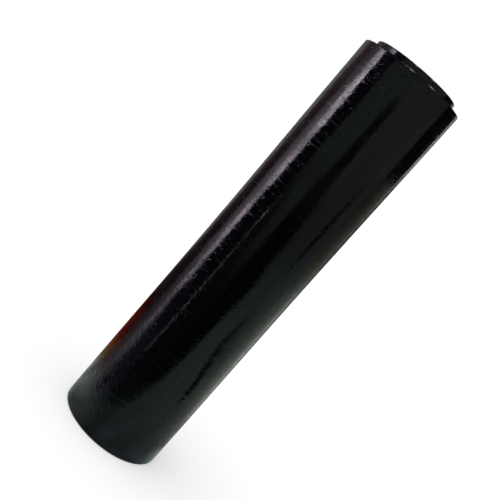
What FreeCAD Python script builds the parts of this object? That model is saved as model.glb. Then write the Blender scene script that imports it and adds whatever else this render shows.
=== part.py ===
import FreeCAD, Part
import math
import os

# A roll of black stretch wrap, wound on a thick-walled plastic core.
# It stands on the end where core and film are flush, at z = 0, with the roll's axis on Z.
# At the top the core stands out of the film. All sizes are in millimetres.

# Core, a straight tube for a three-inch mandrel
core_bore_diameter = 76.2
core_wall = 12.7
core_overhang = 7.3
core_edge_chamfer = 1.0
core_bore_chamfer = 0.8

# Film, wound on the core. The web is thickest along its two edges, so the roll has a waist.
film_width = 500.0
film_build = 11.1
film_edge_round = 1.4
waist_depth = 1.0

# Ends of the wound film, where the turns lie in bands that step in and out
band_count = 8
band_step = 0.7
bottom_band_scatter_deg = 100.0
top_band_scatter_deg = 137.5

# Straight spans that make up a curve, short enough to lie within 0.06 of it
edge_span_count = 3
waist_span_count = 8

core_bore_radius = core_bore_diameter / 2
core_radius = core_bore_radius + core_wall
core_length = film_width + core_overhang
film_radius = core_radius + film_build

up = 1
down = -1


def point(radius, height):
    """A corner of a half outline, in the plane that is turned round the roll's axis."""
    return FreeCAD.Vector(radius, 0, height)


def turned(corners):
    """The solid that a half outline makes when it is closed and turned round the axis."""
    outline = Part.makePolygon([*corners, corners[0]])
    return Part.Face(outline).revolve(FreeCAD.Vector(0, 0, 0), FreeCAD.Vector(0, 0, 1), 360)


def core_end(height, into):
    """The corners of one end of the core, from its bore to its outer wall.

    into is the way from this end to the middle of the roll, up or down.
    """
    return [
        point(core_bore_radius, height + into * core_bore_chamfer),
        point(core_bore_radius + core_bore_chamfer, height),
        point(core_radius - core_edge_chamfer, height),
        point(core_radius, height + into * core_edge_chamfer),
    ]


def core_tube():
    """The core, with a chamfer inside and outside at both of its ends."""
    bottom_end = core_end(0, up)
    top_end = core_end(core_length, down)
    return turned([*bottom_end, *reversed(top_end)])


def band_setbacks(scatter_deg):
    """How far each band of turns lies back from the end of the roll, the outermost by nothing."""
    angles = [math.radians(scatter_deg * inward) for inward in reversed(range(band_count))]
    return [band_step * (1 - math.cos(angle)) / 2 for angle in angles]


def wound_end(height, into, scatter_deg):
    """The corners of one end of the wound film, from the core to the roll's side.

    The bands of turns come first, each of them flat, and then the rounded outer edge.
    """
    band_width = (film_build - film_edge_round) / band_count
    corners = []
    for band, setback in enumerate(band_setbacks(scatter_deg)):
        inner_radius = core_radius + band * band_width
        corners.append(point(inner_radius, height + into * setback))
        corners.append(point(inner_radius + band_width, height + into * setback))
    last_band = corners[-1]
    for span in range(1, edge_span_count + 1):
        turn = math.pi / 2 * span / edge_span_count
        outward = film_edge_round * math.sin(turn)
        back = film_edge_round * (1 - math.cos(turn))
        corners.append(point(last_band.x + outward, last_band.z + into * back))
    return corners


def waisted_side(bottom, top):
    """The corners of the roll's side between its two edges, drawn in to a waist half way up."""
    corners = []
    for span in range(1, waist_span_count):
        share = span / waist_span_count
        draw_in = waist_depth * (1 - math.cos(2 * math.pi * share)) / 2
        corners.append(point(film_radius - draw_in, bottom.z + (top.z - bottom.z) * share))
    return corners


def film_roll():
    """The wound film, one solid from the core to the outermost turn."""
    bottom_end = wound_end(0, up, bottom_band_scatter_deg)
    top_end = wound_end(film_width, down, top_band_scatter_deg)
    side = waisted_side(bottom_end[-1], top_end[-1])
    return turned([*bottom_end, *side, *reversed(top_end)])


def main():
    os.makedirs("parts", exist_ok=True)
    pieces = {"core_tube": core_tube(), "film_roll": film_roll()}
    for name, shape in pieces.items():
        shape.exportStep(f"parts/{name}.step")
        box = shape.BoundBox
        print(
            f"{name}: valid {shape.isValid()}, {shape.Volume / 1e6:.4f} litres, "
            f"z {box.ZMin:.3f} to {box.ZMax:.3f}, {box.XLength:.2f} across"
        )


main()
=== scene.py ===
import math
import random

import bpy
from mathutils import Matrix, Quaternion, Vector, noise


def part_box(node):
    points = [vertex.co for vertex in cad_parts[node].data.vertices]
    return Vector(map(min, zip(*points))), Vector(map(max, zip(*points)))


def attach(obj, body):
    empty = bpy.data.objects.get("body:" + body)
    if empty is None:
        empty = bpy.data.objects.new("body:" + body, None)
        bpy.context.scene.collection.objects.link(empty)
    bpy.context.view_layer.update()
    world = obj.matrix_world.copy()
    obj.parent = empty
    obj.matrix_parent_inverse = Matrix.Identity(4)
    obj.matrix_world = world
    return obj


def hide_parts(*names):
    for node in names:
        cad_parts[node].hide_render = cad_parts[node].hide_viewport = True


# A roll of black stretch wrap on a plastic core, dressed for its picture.
# Everything is in metres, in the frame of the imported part: the roll's axis is Z.

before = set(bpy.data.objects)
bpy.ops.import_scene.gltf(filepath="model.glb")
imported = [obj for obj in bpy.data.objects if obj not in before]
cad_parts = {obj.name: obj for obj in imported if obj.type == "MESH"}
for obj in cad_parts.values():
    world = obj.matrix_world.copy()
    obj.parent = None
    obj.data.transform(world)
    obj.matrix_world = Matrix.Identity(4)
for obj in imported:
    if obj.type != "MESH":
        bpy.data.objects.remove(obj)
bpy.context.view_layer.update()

MM = 0.001
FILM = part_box("film_roll")
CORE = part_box("core_tube")

# Sizes of the solids that the detailed pieces stand for
FILM_RADIUS = FILM[1].x
FILM_WIDTH = FILM[1].z
CORE_RADIUS = CORE[1].x
CORE_LENGTH = CORE[1].z
CORE_BORE_RADIUS = 38.1 * MM
CORE_EDGE_CHAMFER = 1.0 * MM
CORE_BORE_CHAMFER = 0.8 * MM
FILM_EDGE_ROUND = 1.4 * MM
WAIST_DEPTH = 1.0 * MM
BAND_COUNT = 8
BAND_STEP = 0.7 * MM
BOTTOM_BAND_SCATTER_DEG = 100.0
TOP_BAND_SCATTER_DEG = 137.5

# Faces round the axis in each turned mesh, and the sharpest corner that is still shaded smooth
RING_SEGMENTS = 128
SMOOTH_CORNER_DEG = 32

# Places in a piece's list of finishes
SIDE, END = 0, 1

# The camera, placed from the outline of the roll in the photograph
CAMERA_PLACE = Vector((0, -0.84725, 0.40141))
CAMERA_TARGET = Vector((-0.010578, 0, 0.25494))
CAMERA_ROLL_RAD = 0.7145
SENSOR_WIDTH_MM = 36.0
PICTURE_WIDTH_PX = 500
FOCAL_LENGTH_PX = 795.98

# The cards stand on a circle round the roll, from a mat on the floor up to a canopy.
# Their feet lie just above the mat, those of a nearer card higher by a share of how much nearer.
CARD_CIRCLE = 217 * MM
CANOPY_HEIGHT = 600 * MM
MAT_HEIGHT = 0.5 * MM
LYING_HEIGHT = 1.5 * MM
LYING_RISE = 0.2

# Tints of the cards, in red, green and blue
WHITE = (1, 1, 1)
NEUTRAL = (1.0, 0.98, 0.96)
COOL = (0.9, 0.98, 1.05)
NIGHT = (0.5, 0.55, 1.0)
VIOLET = (1.0, 0.89, 1.06)
PLUM = (1.0, 0.78, 0.95)
BROWN = (1.0, 0.62, 0.68)
EMBER_RED = (1.0, 0.1, 0.07)
EMBER_ORANGE = (1.0, 0.32, 0.12)
EMBER_YELLOW = (1.0, 1.0, 0.4)
OLIVE = (1.0, 1.0, 0.84)
MINT = (0.95, 1.0, 0.95)
MOSS = (0.88, 1.0, 0.86)
SHADE = (0.8, 1.0, 0.92)
TEAL = (0.72, 1.0, 0.97)


class Value:
    """Something that varies over a surface. Sums on it add Math nodes to its finish."""

    def __init__(self, finish, socket):
        self.finish = finish
        self.socket = socket

    def math(self, operation, first, second):
        return self.finish.node("ShaderNodeMath", {"operation": operation}, {0: first, 1: second})

    def __add__(self, other):
        return self.math("ADD", self, other)

    def __radd__(self, other):
        return self.math("ADD", other, self)

    def __sub__(self, other):
        return self.math("SUBTRACT", self, other)

    def __rsub__(self, other):
        return self.math("SUBTRACT", other, self)

    def __mul__(self, other):
        return self.math("MULTIPLY", self, other)

    def __rmul__(self, other):
        return self.math("MULTIPLY", other, self)

    def at_least(self, other):
        """This value, or the other one where that is larger."""
        return self.math("MAXIMUM", self, other)


class Finish:
    """The node tree of one material or of the world."""

    def __init__(self, owner):
        self.owner = owner
        owner.use_nodes = True
        self.tree = owner.node_tree
        self.tree.nodes.clear()

    def node(self, kind, settings=None, inputs=None, output=0):
        """Adds a node, sets it up, fills or links its sockets and returns one of its outputs."""
        made = self.tree.nodes.new(kind)
        for name, setting in (settings or {}).items():
            setattr(made, name, setting)
        for name, value in (inputs or {}).items():
            if isinstance(value, Value):
                self.tree.links.new(value.socket, made.inputs[name])
            else:
                made.inputs[name].default_value = value
        if not made.outputs:
            return None
        return Value(self, made.outputs[output])

    def surface(self, shader):
        """Ends the tree with the given shader and returns its material or world."""
        is_world = isinstance(self.owner, bpy.types.World)
        kind = "ShaderNodeOutputWorld" if is_world else "ShaderNodeOutputMaterial"
        self.node(kind, inputs={"Surface": shader})
        return self.owner

    def stretched(self, across=1.0, along=1.0, slant_deg=0.0):
        """A place on the object for a pattern, with its own scale across and along the axis.

        A scale below 1 draws the pattern out. A slant above 0 turns it, so that it climbs to
        the right on the front of the object.
        """
        place = self.node("ShaderNodeTexCoord", output="Object")
        turn = {"Vector": place, "Axis": (0, 1, 0), "Angle": math.radians(slant_deg)}
        turned = self.node("ShaderNodeVectorRotate", inputs=turn) if slant_deg else place
        scale = (across, across, along)
        return self.node("ShaderNodeVectorMath", {"operation": "MULTIPLY"}, {0: turned, 1: scale})

    def rise(self, axis, start, end):
        """0 up to one place along an axis of the object, 1 past another, even between them."""
        place = self.node("ShaderNodeTexCoord", output="Object")
        along = self.node("ShaderNodeSeparateXYZ", inputs={0: place}, output=axis)
        inputs = {"Value": along, "From Min": start, "From Max": end}
        return self.node("ShaderNodeMapRange", inputs=inputs)

    def grain(self, place, size, detail):
        """Noise from 0 to 1, with features of about the given size in metres."""
        inputs = {"Vector": place, "Scale": 1 / size, "Detail": detail}
        return self.node("ShaderNodeTexNoise", inputs=inputs)

    def between(self, factor, first, second):
        """A colour between two others."""
        inputs = {"Factor": factor, "A": (*first, 1), "B": (*second, 1)}
        return self.node("ShaderNodeMix", {"data_type": "RGBA"}, inputs, output="Result")

    def relief(self, height_mm):
        """A normal that stands in for a relief whose height is given in millimetres."""
        inputs = {"Strength": 1.0, "Distance": MM, "Height": height_mm}
        return self.node("ShaderNodeBump", inputs=inputs)

    def plastic(self, tone, roughness, normal):
        """A plain plastic, as glossy as its roughness says."""
        inputs = {"Base Color": tone, "Roughness": roughness, "IOR": 1.5, "Normal": normal}
        return self.node("ShaderNodeBsdfPrincipled", inputs=inputs)


def film_finish():
    """Black stretch film, wound tight: a mirror that fine wrinkles and hoop lines break up."""
    finish = Finish(bpy.data.materials.new("stretch_film"))
    wrinkles = finish.grain(finish.stretched(across=0.22), 1.5 * MM, detail=1.0)
    hoop_lines = finish.grain(finish.stretched(across=0.07), 1.8 * MM, detail=1.0)
    strokes = finish.grain(finish.stretched(across=0.4), 1.2 * MM, detail=1.0)
    waves = finish.grain(finish.stretched(across=0.4), 7 * MM, detail=1.0)
    scores = finish.grain(finish.stretched(across=0.15, slant_deg=-49), 1.6 * MM, detail=1.0)
    slanting = finish.grain(finish.stretched(across=0.25, slant_deg=41), 2.2 * MM, detail=1.0)
    crease_level = 0.66
    creases = (slanting - crease_level).at_least(0.0)

    # The film is scored near the foot, further up on its left, and its wrinkles are lower at both ends
    low_left = finish.rise("Z", 190 * MM, 110 * MM) * finish.rise("X", -26 * MM, -38 * MM)
    near_foot = finish.rise("Z", 115 * MM, 85 * MM).at_least(low_left)
    near_top = finish.rise("Z", 250 * MM, 420 * MM)

    # Heights of the relief in millimetres
    wrinkle_height = 0.21 - near_top * 0.08 - near_foot * 0.06
    wave_height = 0.14
    hoop_line_height = 0.08
    stroke_height = 0.05
    score_height = near_foot * 0.4
    crease_height = 1.2
    broad = wrinkles * wrinkle_height + waves * wave_height
    fine = hoop_lines * hoop_line_height + strokes * stroke_height + scores * score_height
    normal = finish.relief(fine + broad + creases * crease_height)

    clouds = finish.grain(finish.stretched(across=0.5), 22 * MM, detail=3.0)
    streaks = finish.grain(finish.stretched(across=0.1), 2.4 * MM, detail=1.0)
    streak_level = 0.5
    dull_streaks = (streaks - streak_level).at_least(0.0)
    tone = finish.between(clouds, (0.0005, 0.0006, 0.0007), (0.0011, 0.0013, 0.0015))
    roughness = 0.04 + clouds * 0.05 + dull_streaks * 1.1
    return finish.surface(finish.plastic(tone, roughness, normal))


def turn_edge_finish():
    """The cut edges of the turns on the ends of the roll, satin with fine rings."""
    finish = Finish(bpy.data.materials.new("film_turn_edges"))
    flat = finish.stretched(along=0.0)
    radius = finish.node("ShaderNodeVectorMath", {"operation": "LENGTH"}, {0: flat}, output="Value")
    along_radius = finish.node("ShaderNodeCombineXYZ", inputs={0: radius})
    turns = finish.grain(along_radius, 0.12 * MM, detail=3.0)
    smudges = finish.grain(finish.stretched(), 9 * MM, detail=3.0)
    tone = finish.between(turns, (0.003, 0.0032, 0.0035), (0.012, 0.0125, 0.013))
    roughness = 0.3 + smudges * 0.2
    turn_height = 0.02
    return finish.surface(finish.plastic(tone, roughness, finish.relief(turns * turn_height)))


def core_finish():
    """Black moulded plastic, glossy with faint marks along the tube."""
    finish = Finish(bpy.data.materials.new("core_plastic"))
    drawn = finish.grain(finish.stretched(along=0.05), 0.9 * MM, detail=2.0)
    scuffs = finish.grain(finish.stretched(), 7 * MM, detail=4.0)
    tone = finish.between(scuffs, (0.0014, 0.0014, 0.0015), (0.0030, 0.0030, 0.0032))
    roughness = 0.08 + scuffs * 0.10
    drawn_height = 0.01
    return finish.surface(finish.plastic(tone, roughness, finish.relief(drawn * drawn_height)))


def core_end_finish():
    """The sawn ends of the core, satin with fine marks."""
    finish = Finish(bpy.data.materials.new("core_sawn_end"))
    marks = finish.grain(finish.stretched(), 0.5 * MM, detail=4.0)
    broad = finish.grain(finish.stretched(along=0.2), 6 * MM, detail=3.0)
    tone = finish.between(broad, (0.005, 0.005, 0.0052), (0.012, 0.012, 0.0125))
    roughness = 0.38 + broad * 0.15
    mark_height = 0.015
    return finish.surface(finish.plastic(tone, roughness, finish.relief(marks * mark_height)))


def sees_surroundings(finish):
    """1 for the rays that see the white surroundings, and 0 for those that only light things."""
    settings = {"operation": "ADD", "use_clamp": True}
    seen = 0.0
    for ray in ("Is Camera Ray", "Is Glossy Ray", "Is Transmission Ray"):
        is_ray = finish.node("ShaderNodeLightPath", output=ray)
        seen = finish.node("ShaderNodeMath", settings, {0: seen, 1: is_ray})
    return seen


def floor_finish():
    """A plain pale floor that comes out white and keeps the object's shadow."""
    finish = Finish(bpy.data.materials.new("studio_floor"))
    pale, lift = (0.8, 0.8, 0.8, 1), 0.3
    lit = finish.node("ShaderNodeBsdfDiffuse", inputs={"Color": pale})
    lifted = finish.node("ShaderNodeEmission", inputs={"Strength": lift * sees_surroundings(finish)})
    return finish.surface(finish.node("ShaderNodeAddShader", inputs={0: lit, 1: lifted}))


def card_finish(name, fold_size, contrast):
    """Cards glow with the colours stored on their meshes, a little uneven like hung cloth.

    The colours' alpha is how much a card covers what lies behind it, less along soft sides.
    """
    finish = Finish(bpy.data.materials.new(name))
    stored = {"attribute_name": "glow"}
    glow = finish.node("ShaderNodeAttribute", stored, output="Color")
    cover = finish.node("ShaderNodeAttribute", stored, output="Alpha")
    folds = finish.grain(finish.stretched(across=0.08), fold_size, detail=2.0)
    brightness = ((folds - 0.5) * contrast + 1.0).at_least(0.0)
    scaled = {"Vector": glow, "Scale": brightness}
    uneven = finish.node("ShaderNodeVectorMath", {"operation": "SCALE"}, scaled)
    lit = finish.node("ShaderNodeEmission", inputs={"Color": uneven})
    clear = finish.node("ShaderNodeBsdfTransparent")
    material = finish.surface(finish.node("ShaderNodeMixShader", inputs={0: cover, 1: clear, 2: lit}))
    material.cycles.emission_sampling = "NONE"
    return material


def studio_world():
    """Even light from all round, with a white background."""
    finish = Finish(bpy.data.worlds.new("studio"))
    fill = 0.55
    strength = fill + (1 - fill) * sees_surroundings(finish)
    shader = finish.node("ShaderNodeBackground", inputs={"Color": (1, 1, 1, 1), "Strength": strength})
    bpy.context.scene.world = finish.surface(shader)


def add_object(name, vertices, faces, materials, face_materials=None, smooth=True):
    """A mesh object at the origin."""
    mesh = bpy.data.meshes.new(name)
    mesh.from_pydata(vertices, [], faces)
    for material in materials:
        mesh.materials.append(material)
    if face_materials:
        mesh.polygons.foreach_set("material_index", face_materials)
    mesh.polygons.foreach_set("use_smooth", [smooth] * len(mesh.polygons))
    mesh.update()
    made = bpy.data.objects.new(name, mesh)
    bpy.context.scene.collection.objects.link(made)
    return made


def grid_faces(row_count, row_length, closed_rows=False, closed_columns=False):
    """Faces between the rows of a grid of vertices, which may be closed either way."""
    faces = []
    for row in range(row_count if closed_rows else row_count - 1):
        this_row = row * row_length
        next_row = (row + 1) % row_count * row_length
        for step in range(row_length if closed_columns else row_length - 1):
            after = (step + 1) % row_length
            faces.append((this_row + step, this_row + after, next_row + after, next_row + step))
    return faces


def lathe(name, outline, materials, shift=None):
    """A closed ring turned round the axis from a list of (radius, height, finish) points.

    shift(place in the outline, radius, height, angle) may give a point another radius.
    """
    vertices = []
    face_materials = []
    for place, (radius, height, material) in enumerate(outline):
        for step in range(RING_SEGMENTS):
            angle = 2 * math.pi * step / RING_SEGMENTS
            reach = shift(place, radius, height, angle) if shift else radius
            vertices.append((reach * math.sin(angle), -reach * math.cos(angle), height))
        face_materials += [material] * RING_SEGMENTS
    faces = grid_faces(len(outline), RING_SEGMENTS, closed_rows=True, closed_columns=True)
    made = add_object(name, vertices, faces, materials, face_materials)
    made.data.set_sharp_from_angle(angle=math.radians(SMOOTH_CORNER_DEG))
    return made


def band_setbacks(scatter_deg):
    """How far each band of turns lies back from the end of the roll, as in the solid."""
    angles = [math.radians(scatter_deg * inward) for inward in reversed(range(BAND_COUNT))]
    return [BAND_STEP * (1 - math.cos(angle)) / 2 for angle in angles]


def quarter_round(start, end, steps, material):
    """Points after start on a quarter round that leaves it level and reaches end upright."""
    points = []
    for step in range(1, steps + 1):
        turn = math.pi / 2 * step / steps
        radius = start[0] + (end[0] - start[0]) * math.sin(turn)
        height = start[1] + (end[1] - start[1]) * (1 - math.cos(turn))
        points.append((radius, height, material))
    return points


def wound_end(height, into, scatter_deg, draw):
    """Points of one end of the wound film, from the core outward, with the turns' unevenness.

    into is the way from this end to the middle of the roll, 1 for up and -1 for down.
    """
    lines_per_band = 6
    line_depth = 0.07 * MM
    line_edges = (0.04, 0.96)
    round_steps = 6
    band_width = (FILM_RADIUS - CORE_RADIUS - FILM_EDGE_ROUND) / BAND_COUNT
    line_width = band_width / lines_per_band
    points = []
    for band, setback in enumerate(band_setbacks(scatter_deg)):
        inner_radius = CORE_RADIUS + band * band_width
        for line in range(lines_per_band):
            depth = setback + draw.random() * line_depth
            for edge in line_edges:
                radius = inner_radius + (line + edge) * line_width
                points.append((radius, height + into * depth, END))
    last = points[-1]
    round_end = (FILM_RADIUS, last[1] + into * FILM_EDGE_ROUND)
    return points + quarter_round(last, round_end, round_steps, SIDE)


def waist_radius(share):
    """The radius of the film at a share of the way up its side."""
    return FILM_RADIUS - WAIST_DEPTH * (1 - math.cos(2 * math.pi * share)) / 2


def ripple(angle, height):
    """How far the film stands in or out of its waisted side, from the way it was wound."""
    lane_width, hoop_width, swell_width = 17 * MM, 5 * MM, 55 * MM
    lane_depth, hoop_depth, swell_depth = 0.018 * MM, 0.012 * MM, 0.05 * MM
    hoop_bends, swell_bends = 1.6, 2.2
    lane_seed, swell_seed = (7.3, 1.7), Vector((4, 4, 0))
    around = Vector((math.sin(angle), -math.cos(angle), 0))
    lanes = noise.noise(Vector((*lane_seed, height / lane_width)))
    hoops = noise.noise(around * hoop_bends + Vector((0, 0, height / hoop_width)))
    swells = noise.noise(around * swell_bends + swell_seed + Vector((0, 0, height / swell_width)))
    return lane_depth * lanes + hoop_depth * hoops + swell_depth * swells


def film_piece():
    """The wound film: waisted side, rippled hoop-wise, and stepped ends of fine turns."""
    draw = random.Random(7)
    bottom_end = wound_end(0.0, 1, BOTTOM_BAND_SCATTER_DEG, draw)
    top_end = wound_end(FILM_WIDTH, -1, TOP_BAND_SCATTER_DEG, draw)
    bottom, top = bottom_end[-1][1], top_end[-1][1]
    row_count = 520
    edge_share = 0.0004
    shares = [row / row_count for row in range(1, row_count)]
    shares = [edge_share, *shares, 1 - edge_share]
    side = [(waist_radius(share), bottom + (top - bottom) * share, SIDE) for share in shares]
    side_start = len(bottom_end)
    side_end = side_start + len(side)
    calm_edge = 3 * MM
    set_in = 0.04 * MM

    def shift(place, radius, height, angle):
        if not side_start <= place < side_end:
            return radius
        unrest = min(1.0, min(height - bottom, top - height) / calm_edge)
        return radius + (ripple(angle, height) - set_in) * unrest

    outline = [*bottom_end, *side, *reversed(top_end)]
    piece = lathe("wound_film", outline, [film_finish(), turn_edge_finish()], shift)
    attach(piece, "root")
    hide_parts("film_roll")


def core_end(height, into):
    """Points of one sawn end of the core, from its bore to its outer wall.

    into is the way from this end to the middle of the roll, 1 for up and -1 for down.
    """
    rings = 8
    round_steps = 4
    land = 0.2 * MM
    inner = CORE_BORE_RADIUS + CORE_BORE_CHAMFER
    outer = CORE_RADIUS - CORE_EDGE_CHAMFER
    points = [(CORE_BORE_RADIUS, height + into * CORE_BORE_CHAMFER, END)]
    points += [(inner + (outer - inner) * ring / rings, height, END) for ring in range(rings + 1)]
    foot = height + into * CORE_EDGE_CHAMFER
    points += quarter_round(points[-1], (CORE_RADIUS, foot), round_steps, SIDE)
    points.append((CORE_RADIUS, foot + into * land, SIDE))
    return points


def core_piece():
    """The core: a tube with softened corners at both sawn ends."""
    rows = 60
    bottom_end = core_end(0.0, 1)
    top_end = core_end(CORE_LENGTH, -1)
    low, high = bottom_end[-1][1], top_end[-1][1]
    wall = [(CORE_RADIUS, low + (high - low) * row / rows, SIDE) for row in range(1, rows)]
    low, high = bottom_end[0][1], top_end[0][1]
    bore = [(CORE_BORE_RADIUS, high + (low - high) * row / rows, SIDE) for row in range(1, rows)]
    outline = [*bottom_end, *wall, *reversed(top_end), *bore]
    piece = lathe("core", outline, [core_finish(), core_end_finish()])
    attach(piece, "root")
    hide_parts("core_tube")


def mirrored(degrees, height, distance=CARD_CIRCLE, lift_deg=0.0):
    """The point that the camera sees mirrored at a place on the roll's side.

    degrees go round the roll from the side that faces the camera, positive to its right.
    height is the place's own, lift_deg is how far the film there faces up, and distance is
    how far from the axis the point lies, if neither canopy nor mat is nearer.
    """
    angle, lift = math.radians(degrees), math.radians(lift_deg)
    outward = Vector((math.sin(angle), -math.cos(angle), 0))
    normal = outward * math.cos(lift) + Vector((0, 0, math.sin(lift)))
    place = outward * FILM_RADIUS + Vector((0, 0, height))
    ray = (place - CAMERA_PLACE).normalized()
    ray -= normal * 2 * ray.dot(normal)
    level = math.hypot(ray.x, ray.y)
    towards = (place.x * ray.x + place.y * ray.y) / level
    run = (math.sqrt(towards**2 + distance**2 - FILM_RADIUS**2) - towards) / level
    if ray.z > 0:
        run = min(run, (CANOPY_HEIGHT - place.z) / ray.z)
    if ray.z < 0:
        lying = LYING_HEIGHT + (CARD_CIRCLE - distance) * LYING_RISE
        run = min(run, (lying - place.z) / ray.z)
    return place + ray * run


def glowing(name, vertices, glows, faces, material):
    """A glowing sheet of the studio that only the object's gloss sees.

    glows holds a colour for each vertex, with how much the sheet covers there if not all.
    """
    made = add_object(name, vertices, faces, [material])
    colours = made.data.color_attributes.new("glow", "FLOAT_COLOR", "POINT")
    for place, (red, green, blue, *cover) in enumerate(glows):
        colours.data[place].color = (red, green, blue, *(cover or [1.0]))
    for ray in ("camera", "diffuse", "transmission", "volume_scatter", "shadow"):
        setattr(made, f"visible_{ray}", False)


def mixed(first, second, share):
    """Numbers a share of the way from the first ones to the second ones."""
    return [a + (b - a) * share for a, b in zip(first, second)]


def wander(degrees, height, seed):
    """From about -1 to 1, changing slowly with a place on the roll, whose height is in mm."""
    bend_deg, bend_mm = 40, 13
    return 2 * noise.noise(Vector((degrees / bend_deg, seed, height / bend_mm)))


def card(name, material, tint, rows, nearer=0, waver=0.0, soft=0.0):
    """A glowing card round the roll, given by where the camera sees it mirrored in the film.

    rows lists (height in mm, from degrees, to degrees, glow at from, glow at to). nearer
    is how many millimetres the card stands inside the circle of cards, waver is how many
    degrees its sides wander, like those of hung cloth, and soft is how many degrees they
    take to fade out.
    """
    columns = max(2, math.ceil(max(row[2] - row[1] for row in rows)))
    shares = [column / columns for column in range(columns + 1)]
    up_step = 4.0 if waver else 8.0
    steps = []
    for low, high in zip(rows, rows[1:]):
        spans = max(1, math.ceil((high[0] - low[0]) / up_step))
        steps += [mixed(low, high, span / spans) for span in range(spans)]
    steps.append(rows[-1])
    vertices, glows = [], []
    for height, start, end, start_glow, end_glow in steps:
        start += waver * wander(start, height, len(rows))
        end += waver * wander(end, height, len(rows))
        fade = min(soft, end - start) / 2
        across = [(start + fade + (end - start - 2 * fade) * share, share, 1.0) for share in shares]
        if soft:
            across = [(start - fade, 0.0, 0.0), *across, (end + fade, 1.0, 0.0)]
        for degrees, share, cover in across:
            vertices.append(mirrored(degrees, height * MM, CARD_CIRCLE - nearer * MM))
            level = start_glow + (end_glow - start_glow) * share
            glows.append([*(part * level for part in tint), cover])
    row_length = len(vertices) // len(steps)
    glowing(name, vertices, glows, grid_faces(len(steps), row_length), material)


def back_card(cloth):
    """A card behind the roll, which keeps the white background out of its grazing gloss."""
    steps, reach = 12, math.radians(24)
    pale, dark = 0.36, 0.03
    rows = ((20 * MM, pale), (520 * MM, pale), (540 * MM, dark), (CANOPY_HEIGHT, dark))
    vertices, glows = [], []
    for height, glow in rows:
        for step in range(steps + 1):
            angle = reach * (2 * step / steps - 1)
            vertices.append((CARD_CIRCLE * math.sin(angle), CARD_CIRCLE * math.cos(angle), height))
            glows.append((glow, glow, glow))
    glowing("back_card", vertices, glows, grid_faces(len(rows), steps + 1), cloth)


def rim_light(name, cloth, start, end, glow):
    """A narrow card that climbs over the roll, so that its film's edge glints in one place."""
    columns, lifts_deg = 4, range(15, 46, 3)
    edge_height = FILM_WIDTH - FILM_EDGE_ROUND
    distance = CARD_CIRCLE - 9 * MM
    drawn_in, fading = 0.995, 1.5
    vertices, glows = [], []
    for lift_deg in lifts_deg:
        for column in range(columns + 1):
            share = column / columns
            degrees = start + (end - start) * share
            vertices.append(mirrored(degrees, edge_height, distance, lift_deg) * drawn_in)
            glows.append([glow * (1 - share) ** fading] * 3)
    glowing(name, vertices, glows, grid_faces(len(lifts_deg), columns + 1), cloth)


def disc(name, material, height, radii, glow_at):
    """A flat ring round the axis, whose glow comes from glow_at(share of its reach, angle)."""
    steps, rings = 72, 8
    vertices, glows = [], []
    for ring in range(rings + 1):
        share = ring / rings
        radius = radii[0] + (radii[1] - radii[0]) * share
        for step in range(steps):
            angle = 2 * math.pi * step / steps
            vertices.append((radius * math.sin(angle), -radius * math.cos(angle), height))
            glows.append(glow_at(share, angle))
    glowing(name, vertices, glows, grid_faces(rings + 1, steps, closed_columns=True), material)


def mat_glow(share, angle):
    """The mat round the roll's foot: teal in front, neutral behind, pale at right and left, with
    painted shade that dims the pale left glow close to the foot.
    """
    teal, neutral = (0.2, 0.285, 0.3), (0.32, 0.355, 0.33)
    pale_right, pale_left = (0.43, 0.45, 0.42), (0.66, 0.7, 0.68)
    right_deg, right_width_deg = 105, 22
    left_deg, left_width_deg = 300 - 93 * share, 25 + 43 * share
    dimmer_right = 1 - 0.2 * math.sin(angle)
    back = (1 - math.cos(angle)) / 2
    glow = mixed([part * dimmer_right for part in teal], neutral, min(1.0, back**1.6 + 0.6 * share))
    from_right = (math.degrees(angle) - right_deg) / right_width_deg
    glow = mixed(glow, pale_right, 0.6 * math.exp(-(from_right**2)))
    from_left = (math.degrees(angle) - left_deg) / left_width_deg
    # Painted contact shade: the pale glow at the left is weaker close to the roll's foot.
    return mixed(glow, pale_left, math.exp(-(from_left**4)) * min(1.0, 0.5 + 1.7 * share))


def canopy_glow(share, angle):
    """A dim canopy, dimmer towards its rim and the same all round."""
    level = 0.1 - 0.06 * share
    return (level, level, level)


def left_edge_cards(cloth):
    """What the film mirrors along its left edge: a pale sweep, a dark gap and an ember glow."""
    card("sweep_left", cloth, NEUTRAL, [
        (58, -90, -76, 0.08, 0.20), (150, -90, -76, 0.02, 0.05), (200, -90, -74, 0.02, 0.15),
        (250, -90, -70, 0.02, 0.32), (330, -90, -69, 0.03, 0.36), (400, -90, -67, 0.06, 0.36),
        (460, -90, -66, 0.12, 0.34), (512, -90, -63, 0.04, 0.38),
    ])
    card("gap_left", cloth, BROWN, [
        (54, -76, -54, 0.3, 0.3), (150, -76, -54, 0.04, 0.06), (200, -74, -54, 0.05, 0.05),
        (250, -70, -54, 0.10, 0.04), (330, -69, -54, 0.14, 0.05), (400, -67, -54, 0.18, 0.10),
        (460, -66, -54, 0.16, 0.17), (512, -63, -54, 0.30, 0.26),
    ])
    card("ember_high", cloth, EMBER_RED, [
        (88, -87, -56, 0.20, 0.24), (125, -86, -57, 0.16, 0.2), (154, -76, -63, 0.06, 0.03),
    ], nearer=5, soft=2.0)
    card("ember_low", cloth, EMBER_ORANGE, [
        (64, -88, -56, 0.12, 0.2), (73, -88, -56, 0.34, 0.44), (80, -88, -56, 0.34, 0.4),
        (88, -87, -56, 0.22, 0.24),
    ], nearer=5, soft=2.0)
    card("ember_tip", cloth, EMBER_YELLOW, [
        (57, -86, -58, 0.1, 0.14), (62, -86, -58, 0.24, 0.3), (69, -85, -60, 0.14, 0.16),
    ], nearer=7, soft=2.0)


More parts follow.
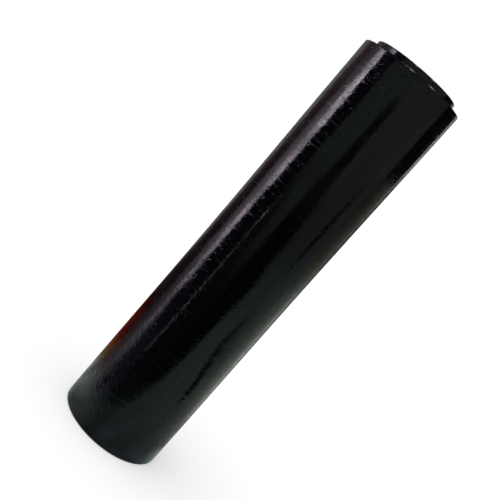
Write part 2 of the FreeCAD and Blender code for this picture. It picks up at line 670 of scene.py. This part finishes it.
def highlight_cards(cloth, folded_cloth):
    """The long highlight, the flag that ends it and the line of glitter beside that."""
    card("softbox_spill", cloth, PLUM, [
        (50, -54, -44, 0.28, 0.34), (130, -54, -44, 0.12, 0.30), (175, -54, -44, 0.05, 0.5),
        (245, -54, -44, 0.03, 1.1), (370, -54, -44, 0.08, 1.4), (435, -54, -44, 0.12, 1.0),
        (512, -54, -44, 0.2, 0.6),
    ])
    card("softbox", folded_cloth, VIOLET, [
        (47, -44, -36, 0.48, 0.38), (110, -44, -36, 0.66, 0.52), (175, -44, -36, 1.05, 1.0),
        (245, -44, -36, 2.6, 2.5), (310, -44, -36, 2.4, 3.1), (370, -43.8, -34, 2.9, 6.6),
        (435, -43.2, -34.4, 2.7, 11.4), (480, -43.2, -34.2, 2.5, 9.6), (512, -43.2, -34.2, 2.2, 7.2),
    ])
    card("flag_left", cloth, NIGHT, [
        (42, -38, -22, 0.20, 0.14), (130, -37.8, -22, 0.14, 0.1), (160, -38.6, -22, 0.07, 0.03),
        (245, -38.9, -22, 0.02, 0.02), (310, -37.9, -22, 0.02, 0.02), (370, -36.6, -22.4, 0.02, 0.02),
        (435, -36.2, -22.4, 0.03, 0.02), (512, -35.8, -22.4, 0.1, 0.04),
    ], nearer=3, waver=0.9)
    draw = random.Random(3)
    glitter = []
    for height in range(117, 312, 2):
        glow = draw.choice((0.0, 0.0, 4.0, 13.0))
        glitter.append((height, -21.85, -21.65, glow, glow))
    card("glitter_line", cloth, WHITE, glitter, nearer=8)


def front_cards(cloth):
    """What the front of the roll mirrors: a dim field, a wavering dark band and a paler field."""
    card("front_left", cloth, SHADE, [
        (41, -26, -15, 0.02, 0.02), (46, -26, -9, 0.02, 0.02), (57, -26, -6, 0.02, 0.02),
        (61, -26, 4, 0.02, 0.02), (200, -26, 4, 0.0, 0.02), (245, -26, 4, 0.0, 0.08),
        (310, -26, 4, 0.0, 0.14), (350, -26, 4, 0.1, 0.17), (400, -26, 4, 0.2, 0.22),
        (512, -26, 4, 0.22, 0.22),
    ])
    card("front_patch", cloth, SHADE, [
        (232, -11, -5, 0.02, 0.05), (260, -13, -4, 0.1, 0.09), (300, -13.5, -4, 0.14, 0.17),
        (330, -14.5, -4, 0.17, 0.2), (352, -18, -4, 0.17, 0.2),
    ], nearer=2, soft=1.6)
    card("front_dark", cloth, SHADE, [
        (61, -6, -1, 0.02, 0.02), (80, -6, 3.5, 0.0, 0.0), (100, -6, 7.7, 0.0, 0.0),
        (120, -5, 9.9, 0.0, 0.0), (140, -4, 12.1, 0.0, 0.0), (180, -4, 14.1, 0.0, 0.0),
        (222, -4, 16.6, 0.0, 0.0), (240, -4, 16.4, 0.0, 0.0), (260, -4.4, 13.5, 0.0, 0.0),
        (320, -4.6, 12.4, 0.0, 0.0), (340, -4, 10, 0.04, 0.04), (360, -4.4, 8.5, 0.04, 0.04),
        (380, -2, 7.8, 0.03, 0.03), (420, -1.4, 6.4, 0.02, 0.02), (440, -1.4, 5.5, 0.02, 0.02),
        (458, -1.8, 7.2, 0.02, 0.02), (466, -1.6, 6.2, 0.08, 0.08), (474, -1, 1.5, 0.2, 0.2),
    ], nearer=4, waver=0.5, soft=2.4)
    card("front_right_low", cloth, TEAL, [
        (60, -2, 46, 0.27, 0.42), (79, -2, 46, 0.27, 0.43), (105, 4, 46, 0.29, 0.44),
        (140, 4, 46, 0.34, 0.4), (175, 4, 46, 0.42, 0.38), (245, 4, 46, 0.2, 0.34),
        (275, 4, 46, 0.14, 0.28),
    ])
    card("front_right_high", cloth, COOL, [
        (275, 4, 46, 0.14, 0.26), (310, 4, 46, 0.11, 0.2), (370, 4, 46, 0.2, 0.17),
        (435, 4, 46, 0.22, 0.2), (512, 4, 46, 0.25, 0.2),
    ])


def fold_cards(cloth):
    """A dimmer fold and thin dark lines inside the paler field."""
    card("fold_low", cloth, TEAL, [
        (134, 36, 43, 0.34, 0.34), (155, 30, 43, 0.2, 0.28), (175, 29, 42, 0.15, 0.28),
        (200, 30, 40, 0.2, 0.3), (216, 33, 38, 0.3, 0.3),
    ], nearer=3, waver=0.8)
    card("line_low", cloth, TEAL, [
        (83, 36, 37.5, 0.05, 0.05), (102, 38, 42.9, 0.02, 0.02), (128, 34.9, 41.6, 0.02, 0.02),
        (153, 30, 35.2, 0.02, 0.02), (172, 28.3, 32.4, 0.02, 0.02), (198, 32, 35.2, 0.03, 0.03),
        (214, 34.2, 35.2, 0.12, 0.12),
    ], nearer=5, waver=0.7)
    card("line_high", cloth, COOL, [
        (272, 32.2, 34.2, 0.03, 0.03), (330, 31, 36, 0.02, 0.02), (382, 33, 35.2, 0.06, 0.06),
    ], nearer=5, waver=0.9, soft=1.0)


def right_edge_cards(cloth):
    """What the film mirrors on its right: a dark patch high up, paler sides and a line by the edge."""
    card("window_dark", cloth, COOL, [
        (406, 46, 69.4, 0.012, 0.012), (512, 45.5, 70.6, 0.012, 0.012),
    ], nearer=5, soft=0.8)
    card("side_right_low", cloth, MOSS, [
        (58, 46, 71, 0.33, 0.50), (110, 46, 71, 0.34, 0.72), (175, 46, 71, 0.36, 0.72),
        (245, 46, 71, 0.35, 0.58), (275, 46, 71, 0.27, 0.32),
    ])
    card("side_right_high", cloth, OLIVE, [
        (275, 46, 71, 0.25, 0.30), (310, 46, 71, 0.17, 0.24), (395, 46, 71, 0.10, 0.24),
    ])
    card("side_right_top", cloth, NEUTRAL, [
        (395, 46, 71, 0.10, 0.24), (430, 46, 71, 0.26, 0.55), (512, 46, 71, 0.24, 0.50),
    ])
    card("edge_right", cloth, MINT, [
        (58, 71, 78, 0.38, 0.24), (110, 71, 78, 0.58, 0.36), (175, 71, 78, 0.40, 0.10),
        (245, 71, 78, 0.25, 0.04), (275, 71, 78, 0.14, 0.03), (310, 71, 78, 0.08, 0.03),
        (395, 71, 78, 0.10, 0.02), (435, 71, 78, 0.50, 0.14), (512, 71, 78, 0.40, 0.03),
    ])
    card("edge_line", cloth, MINT, [
        (58, 69, 76, 0.55, 0.45), (110, 69, 76.4, 0.82, 0.65), (175, 69, 75.6, 0.85, 0.55),
        (245, 69, 75.2, 0.66, 0.36), (275, 69, 74.6, 0.4, 0.2), (310, 69, 74, 0.32, 0.14),
        (395, 69, 74, 0.44, 0.2), (435, 70.2, 76, 0.9, 0.6), (512, 70.8, 76, 0.8, 0.4),
    ], nearer=2, soft=2.0)
    card("sweep_right", cloth, NEUTRAL, [
        (58, 78, 90, 0.24, 0.20), (175, 78, 90, 0.12, 0.06), (310, 78, 90, 0.05, 0.06),
        (395, 78, 90, 0.04, 0.05), (435, 78, 90, 0.18, 0.14), (512, 78, 90, 0.05, 0.04),
    ])


def upper_cards(cloth):
    """What the core's end and the film's upper edge mirror."""
    card("upper_left", cloth, NEUTRAL, [(512, -90, -36, 0.4, 0.2), (568, -90, -36, 0.3, 0.15)])
    card("upper_front", cloth, COOL, [(512, -36, 60, 0.03, 0.03), (568, -36, 60, 0.03, 0.03)])
    card("upper_right", cloth, NEUTRAL, [(512, 60, 90, 0.05, 0.3), (568, 60, 90, 0.05, 0.3)])


def floor():
    """A wide flat floor under the roll."""
    half = 40.0
    corners = [(-half, -half, 0), (half, -half, 0), (half, half, 0), (-half, half, 0)]
    add_object("floor", corners, [(0, 1, 2, 3)], [floor_finish()], smooth=False)


def lamp(name, strength, angle_deg, direction):
    """A broad, even light from one side, which the gloss doesn't see."""
    data = bpy.data.lights.new(name, "SUN")
    data.energy = strength
    data.angle = math.radians(angle_deg)
    made = bpy.data.objects.new(name, data)
    made.rotation_mode = "QUATERNION"
    made.rotation_quaternion = Vector(direction).to_track_quat("-Z", "Y")
    made.visible_glossy = False
    bpy.context.scene.collection.objects.link(made)


def camera():
    """The camera, rolled so that the upright roll leans in the picture."""
    data = bpy.data.cameras.new("camera")
    data.sensor_width = SENSOR_WIDTH_MM
    data.lens = SENSOR_WIDTH_MM * FOCAL_LENGTH_PX / PICTURE_WIDTH_PX
    data.clip_start = 0.01
    data.clip_end = 200
    made = bpy.data.objects.new("camera", data)
    made.location = CAMERA_PLACE
    made.rotation_mode = "QUATERNION"
    aimed = (CAMERA_TARGET - CAMERA_PLACE).to_track_quat("-Z", "Y")
    made.rotation_quaternion = aimed @ Quaternion((0, 0, 1), CAMERA_ROLL_RAD)
    bpy.context.scene.collection.objects.link(made)
    bpy.context.scene.camera = made


def studio():
    """The white world, the floor, the lamp and all that the roll's gloss sees."""
    bpy.context.scene.view_settings.view_transform = "Standard"
    studio_world()
    floor()
    lamp("overhead", strength=1.4, angle_deg=70, direction=(0.25, 0.2, -1))
    cloth = card_finish("studio_cards", fold_size=4 * MM, contrast=2.6)
    folded_cloth = card_finish("studio_softbox", fold_size=13 * MM, contrast=5.5)
    disc("mat", cloth, MAT_HEIGHT, radii=(63 * MM, 400 * MM), glow_at=mat_glow)
    disc("canopy", cloth, CANOPY_HEIGHT, radii=(0.0, 230 * MM), glow_at=canopy_glow)
    left_edge_cards(cloth)
    highlight_cards(cloth, folded_cloth)
    front_cards(cloth)
    fold_cards(cloth)
    right_edge_cards(cloth)
    upper_cards(cloth)
    back_card(cloth)
    rim_light("rim_light_left", cloth, start=-7, end=1, glow=9.0)
    rim_light("rim_light_right", cloth, start=17, end=24, glow=9.0)


camera()
film_piece()
core_piece()
studio()
